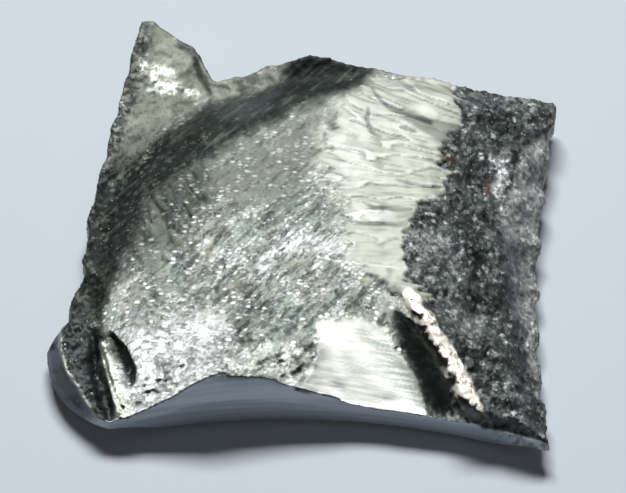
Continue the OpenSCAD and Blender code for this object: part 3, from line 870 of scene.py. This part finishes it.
def tilt(nodes, normal, pattern, share, amount):
    """A normal tilted by a random amount for each cell of a pattern, as far as a mask lets it."""
    way = nodes.add(
        "ShaderNodeVectorMath", {"operation": "SUBTRACT"}, _0=pattern.outputs["Color"], _1=(0.5, 0.5, 0.5))
    reach = nodes.add("ShaderNodeMath", {"operation": "MULTIPLY"}, _0=share, _1=2 * amount)
    step = nodes.add(
        "ShaderNodeVectorMath", {"operation": "SCALE"}, _0=way.outputs[0], Scale=reach.outputs[0])
    total = nodes.add("ShaderNodeVectorMath", {"operation": "ADD"}, _0=normal, _1=step.outputs[0])
    return nodes.add("ShaderNodeVectorMath", {"operation": "NORMALIZE"}, _0=total.outputs[0]).outputs[0]


def cells(nodes, place, cell, randomness=1.0, feature="F1"):
    """Cells with a random colour, from the size and the direction of a cell."""
    size, degrees = cell
    turn = nodes.add(
        "ShaderNodeVectorRotate", {"rotation_type": "Z_AXIS"}, Vector=place, Angle=math.radians(-degrees))
    count = tuple(1 / (MM * step) for step in size)
    spread = nodes.add("ShaderNodeVectorMath", {"operation": "MULTIPLY"}, _0=turn.outputs[0], _1=count)
    return nodes.add(
        "ShaderNodeTexVoronoi", {"feature": feature}, Vector=spread.outputs[0], Scale=1.0,
        Randomness=randomness)


def times(nodes, *values):
    product = values[0]
    for value in values[1:]:
        product = nodes.add("ShaderNodeMath", {"operation": "MULTIPLY"}, _0=product, _1=value).outputs[0]
    return product


def ramp(nodes, value, low, high):
    """0 to 1 as a value goes from low to high, which may be the smaller one."""
    return nodes.add("ShaderNodeMapRange", _0=value, _1=low, _2=high, _3=0.0, _4=1.0).outputs[0]


def marks(nodes, pattern, low, high):
    """Soft round marks in the cells of a pattern, in those whose random number is over about low to high."""
    number = nodes.add("ShaderNodeSeparateColor", Color=pattern.outputs["Color"]).outputs[0]
    return times(nodes, ramp(nodes, pattern.outputs["Distance"], 0.45, 0.2), ramp(nodes, number, low, high))


def blend(nodes, a, b, share):
    return nodes.add("ShaderNodeMix", {"data_type": "RGBA"}, _0=share, _6=a, _7=b).outputs[2]


def faceted_normal(nodes, place, masks):
    """The normal, flatter on lifted flakes, and tilted by facets, grains and scuffs."""
    normal = nodes.add("ShaderNodeNewGeometry").outputs["Normal"]
    flatter = nodes.add(
        "ShaderNodeMix", {"data_type": "VECTOR"}, _0=masks["lifted"], _4=normal, _5=(0, 0, 1))
    normal = nodes.add("ShaderNodeVectorMath", {"operation": "NORMALIZE"}, _0=flatter.outputs[1]).outputs[0]
    normal = tilt(nodes, normal, cells(nodes, place, LONG_FACET, 0.6), masks["diagonal"], 0.15)
    normal = tilt(nodes, normal, cells(nodes, place, LEVEL_FACET, 0.7), masks["level foil"], 0.2)
    normal = tilt(nodes, normal, cells(nodes, place, FINE_FACET), masks["foil"], 0.1)
    normal = tilt(nodes, normal, cells(nodes, place, COARSE_GRAIN), masks["grain"], 0.22)
    normal = tilt(nodes, normal, cells(nodes, place, FINE_GRAIN), masks["grain"], 0.22)
    scuff = nodes.add("ShaderNodeTexNoise", Vector=place, Scale=7000.0, Detail=3.0)
    bump = nodes.add(
        "ShaderNodeBump", Strength=0.3, Distance=0.012 * MM, Height=scuff.outputs["Fac"], Normal=normal)
    return bump.outputs["Normal"]


def marked_tint(nodes, place, masks):
    """The tint with painted glints (level dashes and flecks, dots in rows that run up to the right, sparks on
    grains) and painted shade along the dash edges.
    """
    tint = nodes.attribute("tint").outputs["Color"]
    # Painted shade along the edges of the dashes
    gaps = cells(nodes, place, DASH, 0.7, "DISTANCE_TO_EDGE")
    gap = ramp(nodes, gaps.outputs["Distance"], 0.16, 0.0)
    tint = blend(nodes, tint, (*DARK_TIN, 1), times(nodes, gap, masks["dots"], 0.5))
    # Painted glints: bright flecks, dots and dashes
    fleck = marks(nodes, cells(nodes, place, FLECK), 0.55, 0.9)
    tint = blend(nodes, tint, (*BRIGHT_TIN, 1), times(nodes, fleck, masks["dots"], 0.7))
    lines = cells(nodes, place, RULED_LINE, 0.5, "DISTANCE_TO_EDGE")
    line = ramp(nodes, lines.outputs["Distance"], 0.13, 0.0)
    tint = blend(nodes, tint, (*SLATE_TIN, 1), times(nodes, line, masks["diagonal"], masks["dots"], 0.6))
    dot = marks(nodes, cells(nodes, place, DOT, 0.5), 0.35, 0.8)
    dash = marks(nodes, cells(nodes, place, DASH, 0.7), 0.4, 0.8)
    mark = nodes.add("ShaderNodeMix", {"data_type": "FLOAT"}, _0=masks["weave"], _2=dash, _3=dot).outputs[0]
    tint = blend(nodes, tint, (*WHITE_TIN, 1), times(nodes, mark, masks["dots"], 0.9))
    # Painted glints on grains
    spark = marks(nodes, cells(nodes, place, SPARK), 0.9, 0.96)
    return blend(nodes, tint, (*BRIGHT_TIN, 1), times(nodes, spark, masks["sparks"]))


def tin_material():
    material = bpy.data.materials.new("tin")
    nodes = Nodes(material)
    place = nodes.add("ShaderNodeTexCoord").outputs["Object"]
    masks = {name: nodes.attribute(name).outputs["Fac"]
             for name in ("dullness", "metal", "foil", "level", "dots", "weave", "grain", "sparks", "lifted")}
    uneven = nodes.add("ShaderNodeMath", {"operation": "SUBTRACT"}, _0=1.0, _1=masks["level"]).outputs[0]
    masks["diagonal"] = times(nodes, masks["foil"], uneven)
    masks["level foil"] = times(nodes, masks["foil"], masks["level"])
    shader = nodes.add(
        "ShaderNodeBsdfPrincipled", Base_Color=marked_tint(nodes, place, masks), Roughness=masks["dullness"],
        Metallic=masks["metal"], Specular_IOR_Level=0.25, Normal=faceted_normal(nodes, place, masks))
    nodes.add("ShaderNodeOutputMaterial", Surface=shader.outputs["BSDF"])
    return material


def make_lump():
    piece = dense_copy(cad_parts["ingot"], "tin_lump")
    sculpt(piece.data)
    piece.data.polygons.foreach_set("use_smooth", np.ones(len(piece.data.polygons), bool))
    piece.data.materials.clear()
    piece.data.materials.append(tin_material())
    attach(piece, "root")
    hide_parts("ingot")


def make_floor():
    mesh = bpy.data.meshes.new("floor")
    ring = ((-1, -1), (1, -1), (1, 1), (-1, 1))
    mesh.from_pydata([(FLOOR_HALF * right, FLOOR_HALF * back, 0) for right, back in ring], [], [(0, 1, 2, 3)])
    floor = bpy.data.objects.new("floor", mesh)
    scene.collection.objects.link(floor)
    material = bpy.data.materials.new("floor")
    nodes = Nodes(material)
    shader = nodes.add(
        "ShaderNodeBsdfPrincipled", Base_Color=(*FLOOR_TINT, 1), Roughness=0.9, Specular_IOR_Level=0.1)
    nodes.add("ShaderNodeOutputMaterial", Surface=shader.outputs["BSDF"])
    mesh.materials.append(material)


def aim(thing, target):
    thing.rotation_mode = "QUATERNION"
    thing.rotation_quaternion = (target - thing.location).to_track_quat("-Z", "Y")


def make_softbox(name, azimuth, height, distance, width, length, power):
    """A lamp at a direction from the lump: azimuth from +Y towards -X, and height, in degrees."""
    light = bpy.data.lights.new(name, "AREA")
    light.shape = "RECTANGLE"
    light.size = width
    light.size_y = length
    light.energy = power
    lamp = bpy.data.objects.new(name, light)
    scene.collection.objects.link(lamp)
    turn, rise = math.radians(azimuth), math.radians(height)
    way = Vector((-math.sin(turn) * math.cos(rise), math.cos(turn) * math.cos(rise), math.sin(rise)))
    lamp.location = distance * way
    aim(lamp, Vector((0, 0, 0)))


def make_light():
    make_softbox("key", azimuth=2, height=54, distance=0.6, width=0.3, length=0.14, power=4.12)
    make_softbox("panel", azimuth=200, height=45, distance=0.6, width=0.5, length=0.2, power=0.16)
    world = bpy.data.worlds.new("world")
    scene.world = world
    world.use_nodes = True
    background = world.node_tree.nodes["Background"]
    background.inputs["Color"].default_value = (*WORLD_LIGHT, 1)
    background.inputs["Strength"].default_value = 1.0


def make_camera():
    camera_data = bpy.data.cameras.new("camera")
    camera_data.lens = LENS
    camera_data.sensor_width = SENSOR_WIDTH
    camera_data.clip_start = 0.01
    camera = bpy.data.objects.new("camera", camera_data)
    scene.collection.objects.link(camera)
    right, back, height = LOOK_AT
    target = Vector((SIGHT_ORIGIN[0] + right, SIGHT_ORIGIN[1] + back, height)) * MM
    way = Vector((0, -math.cos(SIGHT_HEIGHT), math.sin(SIGHT_HEIGHT)))
    camera.location = target + CAMERA_DISTANCE * way
    aim(camera, target)
    scene.camera = camera


make_lump()
make_floor()
make_light()
make_camera()
